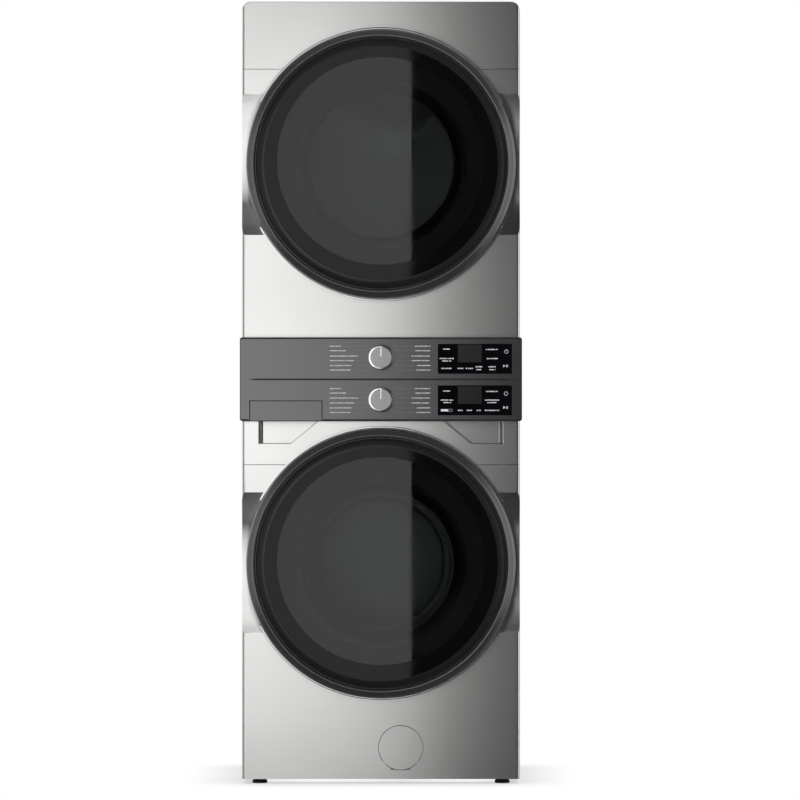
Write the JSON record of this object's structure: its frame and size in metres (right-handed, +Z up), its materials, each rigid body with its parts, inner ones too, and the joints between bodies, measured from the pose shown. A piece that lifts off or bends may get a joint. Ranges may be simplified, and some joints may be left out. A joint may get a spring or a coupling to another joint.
{
  "type": "washer dryer stack",
  "caption": "Free-standing laundry tower: front-loading washer below, tumble dryer above, round glass doors and a shared control console between them.",
  "frame": {"origin": "on the floor, under the centre of the tower's box in plan", "axes": "+Z up, -Y towards the front with the doors, +X to the right of someone facing the doors"},
  "size_m": [0.686, 0.8, 1.905],
  "materials": {
    "brushed_front": "fine horizontal brushing, satin",
    "side_paint": "satin metallic grey paint",
    "galvanised": "zinc coated sheet, dull",
    "console_graphite": "graphite metallic, satin",
    "ring_graphite": "dark graphite, semi-gloss",
    "black_glass": "opaque black printed glass, polished",
    "clear_glass": "clear moulded glass",
    "knob_metal": "fine turned satin with a polished chamfer",
    "drawer_moulding": "graphite front on a grey moulded box",
    "grey_moulding": "light grain",
    "white_moulding": "light grain",
    "black_moulding": "fine grain",
    "grey_rubber": "soft bellows rubber",
    "belt_rubber": "ribbed rubber",
    "foot_rubber": "hard rubber",
    "ballast": "rough cast",
    "dark_motor": "enamelled housing",
    "zinc_fastener": "bright zinc",
    "circuit_board": "solder mask",
    "stainless": "satin stainless",
    "cast_aluminium": "as cast",
    "lint_mesh": "fine woven mesh in a moulded frame"
  },
  "bodies": {
    "cabinet": {"base_frame": "galvanised", "washer_cabinet": "side_paint", "dryer_cabinet": "side_paint", "washer_rear_panel": "galvanised", "dryer_rear_panel": "galvanised", "top_panel": "side_paint", "washer_front_panel": "brushed_front", "washer_fascia": "brushed_front", "dryer_front_panel": "brushed_front", "dryer_front_header": "brushed_front", "console_panel": "console_graphite", "display_windows": "black_glass", "control_boards": "circuit_board", "centre_deck": "galvanised", "cabinet_screws": "zinc_fastener", "outer_tub": "grey_moulding", "door_gasket": "grey_rubber", "counterweight": "ballast", "tub_suspension": "galvanised", "washer_motor": "dark_motor", "tub_bearings": "zinc_fastener", "drain_pump": "black_moulding", "dispenser_housing": "white_moulding", "inlet_valves": "white_moulding", "door_hinge_brackets": "zinc_fastener", "door_latches": "black_moulding", "dryer_front_bulkhead": "galvanised", "dryer_rear_bulkhead": "galvanised", "dryer_motor": "dark_motor", "blower_housing": "white_moulding", "heater_box": "galvanised", "exhaust_duct": "galvanised", "power_inlet": "black_moulding", "drive_belts": "belt_rubber"},
    "washer_door": {"washer_door_ring": "ring_graphite", "washer_door_glass": "black_glass", "washer_door_frame": "grey_moulding", "washer_door_bowl": "clear_glass"},
    "dryer_door": {"dryer_door_ring": "ring_graphite", "dryer_door_glass": "black_glass", "dryer_door_frame": "grey_moulding", "dryer_door_window": "clear_glass"},
    "washer_basket": {"washer_drum": "stainless", "washer_drum_spider": "cast_aluminium", "washer_drum_pulley": "cast_aluminium"},
    "washer_rotor": {"washer_motor_pulley": "zinc_fastener"},
    "dryer_basket": {"dryer_drum": "stainless"},
    "dryer_rotor": {"blower_wheel": "white_moulding"},
    "roller_left": {"drum_roller_left": "belt_rubber"},
    "roller_right": {"drum_roller_right": "belt_rubber"},
    "washer_dial": {"washer_knob": "knob_metal"},
    "dryer_dial": {"dryer_knob": "knob_metal"},
    "drawer": {"detergent_drawer": "drawer_moulding"},
    "access_cover": {"pump_cover": "brushed_front"},
    "filter_cap": {"pump_filter": "white_moulding"},
    "lint_filter": {"lint_screen": "lint_mesh"},
    "leveller_front_left": {"foot_front_left": "foot_rubber"},
    "leveller_front_right": {"foot_front_right": "foot_rubber"},
    "leveller_rear_left": {"foot_rear_left": "foot_rubber"},
    "leveller_rear_right": {"foot_rear_right": "foot_rubber"}
  },
  "joints": [
    {"name": "washer_door_hinge", "type": "hinge", "parent": "cabinet", "child": "washer_door", "pos_m": [-0.304, -0.364, 0.5385], "axis": [0, 0, -1], "range_deg": [0, 135]},
    {"name": "dryer_door_hinge", "type": "hinge", "parent": "cabinet", "child": "dryer_door", "pos_m": [-0.304, -0.364, 1.509], "axis": [0, 0, -1], "range_deg": [0, 135]},
    {"name": "washer_drum_turn", "type": "hinge", "parent": "cabinet", "child": "washer_basket", "pos_m": [0, 0, 0.5385], "axis": [0, 1, 0], "continuous": true},
    {"name": "washer_motor_turn", "type": "hinge", "parent": "cabinet", "child": "washer_rotor", "pos_m": [0, 0.318, 0.1825], "axis": [0, 1, 0], "continuous": true},
    {"name": "dryer_drum_turn", "type": "hinge", "parent": "cabinet", "child": "dryer_basket", "pos_m": [0, 0, 1.509], "axis": [0, 1, 0], "continuous": true},
    {"name": "dryer_motor_turn", "type": "hinge", "parent": "cabinet", "child": "dryer_rotor", "pos_m": [0.07, 0.06, 1.098], "axis": [0, 1, 0], "continuous": true},
    {"name": "roller_left_turn", "type": "hinge", "parent": "cabinet", "child": "roller_left", "pos_m": [-0.1677, 0.246, 1.21853], "axis": [0, 1, 0], "continuous": true},
    {"name": "roller_right_turn", "type": "hinge", "parent": "cabinet", "child": "roller_right", "pos_m": [0.1677, 0.246, 1.21853], "axis": [0, 1, 0], "continuous": true},
    {"name": "washer_knob_turn", "type": "hinge", "parent": "cabinet", "child": "washer_dial", "pos_m": [0, -0.364, 0.936], "axis": [0, -1, 0], "continuous": true},
    {"name": "dryer_knob_turn", "type": "hinge", "parent": "cabinet", "child": "dryer_dial", "pos_m": [0, -0.364, 1.0385], "axis": [0, -1, 0], "continuous": true},
    {"name": "detergent_drawer_slide", "type": "slide", "parent": "cabinet", "child": "drawer", "axis": [0, -1, 0], "range_m": [0, 0.25]},
    {"name": "pump_cover_hinge", "type": "hinge", "parent": "cabinet", "child": "access_cover", "pos_m": [0.048, -0.3385, 0.0375], "axis": [1, 0, 0], "range_deg": [0, 90]},
    {"name": "pump_filter_turn", "type": "hinge", "parent": "cabinet", "child": "filter_cap", "pos_m": [0.048, -0.31, 0.0965], "axis": [0, -1, 0], "range_deg": [-270, 0]},
    {"name": "lint_screen_slide", "type": "slide", "parent": "cabinet", "child": "lint_filter", "axis": [0, 0, 1], "range_m": [0, 0.2]},
    {"name": "foot_front_left_turn", "type": "hinge", "parent": "cabinet", "child": "leveller_front_left", "pos_m": [-0.296, -0.29, 0.02], "axis": [0, 0, 1], "continuous": true},
    {"name": "foot_front_right_turn", "type": "hinge", "parent": "cabinet", "child": "leveller_front_right", "pos_m": [0.296, -0.29, 0.02], "axis": [0, 0, 1], "continuous": true},
    {"name": "foot_rear_left_turn", "type": "hinge", "parent": "cabinet", "child": "leveller_rear_left", "pos_m": [-0.296, 0.32, 0.02], "axis": [0, 0, 1], "continuous": true},
    {"name": "foot_rear_right_turn", "type": "hinge", "parent": "cabinet", "child": "leveller_rear_right", "pos_m": [0.296, 0.32, 0.02], "axis": [0, 0, 1], "continuous": true}
  ],
  "couplings": [
    {"joint": "washer_motor_turn", "follows": "washer_drum_turn", "ratio": 6.3636},
    {"joint": "dryer_motor_turn", "follows": "dryer_drum_turn", "ratio": 20},
    {"joint": "roller_left_turn", "follows": "dryer_drum_turn", "ratio": -8.5714},
    {"joint": "roller_right_turn", "follows": "dryer_drum_turn", "ratio": -8.5714}
  ]
}
